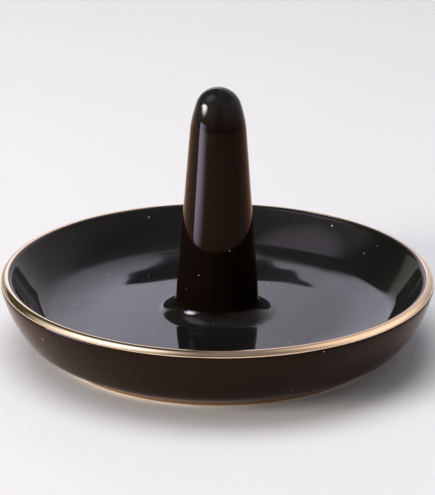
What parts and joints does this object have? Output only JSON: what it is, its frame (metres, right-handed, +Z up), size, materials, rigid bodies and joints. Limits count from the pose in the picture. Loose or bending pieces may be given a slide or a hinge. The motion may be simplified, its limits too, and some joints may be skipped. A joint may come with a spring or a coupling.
{
  "type": "ring dish",
  "caption": "Round shallow glazed dish with a gold-banded lip, a foot ring and a tapered central post that holds finger rings.",
  "frame": {"origin": "centre of the foot ring's sole, on the surface that the dish stands on", "axes": "+Z up along the axis of the dish and the post; the dish is round, so X and Y are free"},
  "size_m": [0.1, 0.1, 0.0604],
  "materials": {
    "clay": "fired cream stoneware, bare and matte on the sole of the foot",
    "slip": "fired slip of the same clay, covered by the glaze",
    "glaze": "glossy black glaze with a few pinholes",
    "gold": "bright fired gold lustre, brushed on by hand"
  },
  "bodies": {
    "root": {"dish_body": "clay", "ring_post": "clay", "joint_slip": "slip", "glaze_coat": "glaze", "underside_glaze": "glaze", "gold_rim": "gold"}
  },
  "joints": []
}
